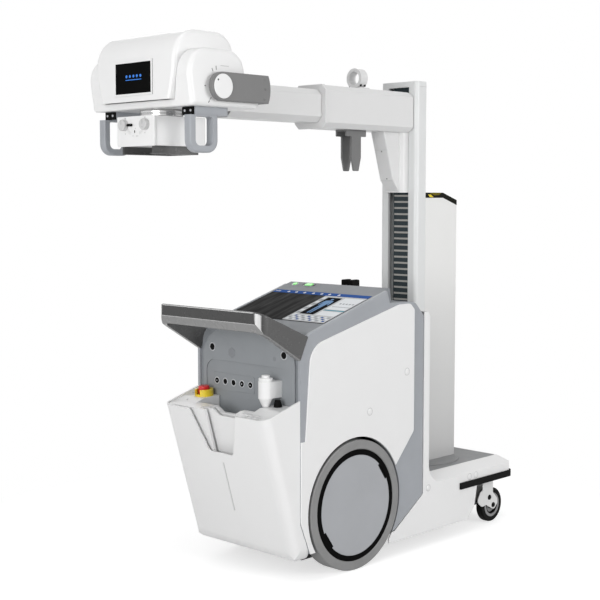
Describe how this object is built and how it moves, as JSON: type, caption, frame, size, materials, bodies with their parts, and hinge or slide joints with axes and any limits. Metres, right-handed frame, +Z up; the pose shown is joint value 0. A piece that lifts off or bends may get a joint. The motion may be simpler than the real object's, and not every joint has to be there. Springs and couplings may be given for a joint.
{
  "type": "mobile x-ray machine",
  "caption": "Mobile x-ray machine: motorised console with detector bin, turning column, telescopic arm and yoke-mounted tube head with collimator",
  "frame": {"origin": "middle of the footprint, on the floor", "axes": "+Z up, +X from the operator's end towards the casters, +Y to the machine's left"},
  "size_m": [1.887, 0.606, 1.992],
  "materials": {
    "shell_white": "smooth",
    "console_grey": "smooth",
    "trim_grey": "satin",
    "dark_grey": "satin",
    "deck_grey": "fine grain",
    "panel_grey": "satin",
    "yoke_paint": "satin",
    "tower_paint": "smooth",
    "column_paint": "satin",
    "arm_paint": "smooth",
    "tyre_grey": "worn",
    "ring_black": "smooth",
    "knob_grey": "smooth",
    "hub_grey": "satin",
    "rubber_black": "matt",
    "glass_black": "polished",
    "frame_steel": "matt",
    "fork_steel": "smooth",
    "belt_slate": "matt",
    "hazard_stripes": "striped",
    "weight_iron": "rough",
    "estop_yellow": "smooth",
    "estop_red": "smooth",
    "button_green": "lit",
    "tube_metal": "cast"
  },
  "bodies": {
    "base": {"chassis_frame": "frame_steel", "base_cover": "shell_white", "deck_plate": "deck_grey", "bumper_strip": "rubber_black", "power_units": "ring_black", "arm_dock": "rubber_black", "console_shell": "console_grey", "front_panel": "panel_grey", "front_inserts": "rubber_black", "display_glass": "glass_black", "push_handle": "dark_grey", "detector_bin": "shell_white", "bin_insert": "shell_white", "estop_collar": "estop_yellow", "switch_holster": "shell_white", "side_trim_left": "trim_grey", "side_trim_right": "trim_grey", "side_panel_left": "shell_white", "side_panel_right": "shell_white"},
    "wheel_left": {"tyre_left": "tyre_grey", "wheel_ring_left": "ring_black", "hub_disc_left": "hub_grey"},
    "wheel_right": {"tyre_right": "tyre_grey", "wheel_ring_right": "ring_black", "hub_disc_right": "hub_grey"},
    "fork_left": {"caster_fork_left": "fork_steel"},
    "fork_right": {"caster_fork_right": "fork_steel"},
    "roller_left": {"caster_wheel_left": "rubber_black"},
    "roller_right": {"caster_wheel_right": "rubber_black"},
    "column": {"turntable": "deck_grey", "column_profile": "column_paint", "column_cap": "column_paint", "belt_panel": "belt_slate", "belt_bars": "belt_slate", "tower_cover": "tower_paint", "hazard_pad": "hazard_stripes"},
    "weight": {"balance_weight": "weight_iron"},
    "lift": {"carriage": "arm_paint", "outer_arm": "arm_paint", "arm_end_frame": "arm_paint", "cable_ring": "arm_paint", "dock_hook": "yoke_paint"},
    "telescope": {"inner_arm": "arm_paint"},
    "fork": {"yoke": "yoke_paint", "pivot_caps": "shell_white"},
    "head": {"head_base": "shell_white", "head_cover": "shell_white", "head_display": "ring_black", "tube_housing": "tube_metal", "head_grips": "trim_grey"},
    "beam_box": {"collimator": "shell_white", "collimator_rails": "dark_grey"},
    "knob_left": {"collimator_knob_left": "knob_grey"},
    "knob_right": {"collimator_knob_right": "knob_grey"},
    "emergency": {"estop_button": "estop_red"},
    "mode_knob": {"rotary_knob": "rubber_black"},
    "power": {"power_button": "button_green"},
    "start": {"start_button": "button_green"},
    "switch": {"hand_switch": "shell_white"},
    "trigger": {"hand_switch_trigger": "shell_white"}
  },
  "joints": [
    {"name": "wheel_left_roll", "type": "hinge", "parent": "base", "child": "wheel_left", "pos_m": [-0.1045, 0.25, 0.252], "axis": [0, 1, 0], "continuous": true},
    {"name": "caster_left_swivel", "type": "hinge", "parent": "base", "child": "fork_left", "pos_m": [0.8115, 0.228, 0.195], "axis": [0, 0, 1], "continuous": true},
    {"name": "caster_left_roll", "type": "hinge", "parent": "fork_left", "child": "roller_left", "pos_m": [0.8455, 0.228, 0.075], "axis": [0, 1, 0], "continuous": true},
    {"name": "wheel_right_roll", "type": "hinge", "parent": "base", "child": "wheel_right", "pos_m": [-0.1045, -0.25, 0.252], "axis": [0, 1, 0], "continuous": true},
    {"name": "caster_right_swivel", "type": "hinge", "parent": "base", "child": "fork_right", "pos_m": [0.8115, -0.228, 0.195], "axis": [0, 0, 1], "continuous": true},
    {"name": "caster_right_roll", "type": "hinge", "parent": "fork_right", "child": "roller_right", "pos_m": [0.8455, -0.228, 0.075], "axis": [0, 1, 0], "continuous": true},
    {"name": "column_swivel", "type": "hinge", "parent": "base", "child": "column", "pos_m": [0.6225, 0, 0.28], "axis": [0, 0, 1], "range_deg": [-180, 180]},
    {"name": "carriage_lift", "type": "slide", "parent": "column", "child": "lift", "axis": [0, 0, 1], "range_m": [-0.38, 0.02]},
    {"name": "weight_run", "type": "slide", "parent": "column", "child": "weight", "axis": [0, 0, 1], "range_m": [-0.02, 0.38]},
    {"name": "arm_telescope", "type": "slide", "parent": "lift", "child": "telescope", "axis": [1, 0, 0], "range_m": [0, 0.4]},
    {"name": "head_roll", "type": "hinge", "parent": "telescope", "child": "fork", "pos_m": [-0.5385, 0, 1.784], "axis": [1, 0, 0], "range_deg": [-90, 90]},
    {"name": "head_tilt", "type": "hinge", "parent": "fork", "child": "head", "pos_m": [-0.7905, 0, 1.8], "axis": [0, 1, 0], "range_deg": [-20, 90]},
    {"name": "collimator_turn", "type": "hinge", "parent": "head", "child": "beam_box", "pos_m": [-0.81, 0, 1.72], "axis": [0, 0, 1], "range_deg": [-90, 90]},
    {"name": "knob_left_turn", "type": "hinge", "parent": "beam_box", "child": "knob_left", "pos_m": [-0.9345, 0.058, 1.678], "axis": [1, 0, 0], "range_deg": [-75, 75]},
    {"name": "knob_right_turn", "type": "hinge", "parent": "beam_box", "child": "knob_right", "pos_m": [-0.9345, -0.058, 1.678], "axis": [1, 0, 0], "range_deg": [-75, 75]},
    {"name": "estop_press", "type": "slide", "parent": "base", "child": "emergency", "axis": [-0.047, 0, 0.9989], "range_m": [-0.005, 0], "stiffness_N_per_m": 3000},
    {"name": "power_press", "type": "slide", "parent": "base", "child": "power", "axis": [-0.2917, 0, 0.9565], "range_m": [-0.003, 0], "stiffness_N_per_m": 1200},
    {"name": "start_press", "type": "slide", "parent": "base", "child": "start", "axis": [-0.2917, 0, 0.9565], "range_m": [-0.003, 0], "stiffness_N_per_m": 1200},
    {"name": "mode_knob_turn", "type": "hinge", "parent": "base", "child": "mode_knob", "pos_m": [-0.4345, -0.196, 0.66259], "axis": [-0.047, 0, 0.9989], "range_deg": [-150, 150]},
    {"name": "switch_lift", "type": "slide", "parent": "base", "child": "switch", "axis": [0, 0, 1], "range_m": [0, 0.1]},
    {"name": "trigger_press", "type": "slide", "parent": "switch", "child": "trigger", "axis": [0, 0, 1], "range_m": [-0.004, 0], "stiffness_N_per_m": 900}
  ],
  "couplings": [
    {"joint": "weight_run", "follows": "carriage_lift", "ratio": -1}
  ]
}
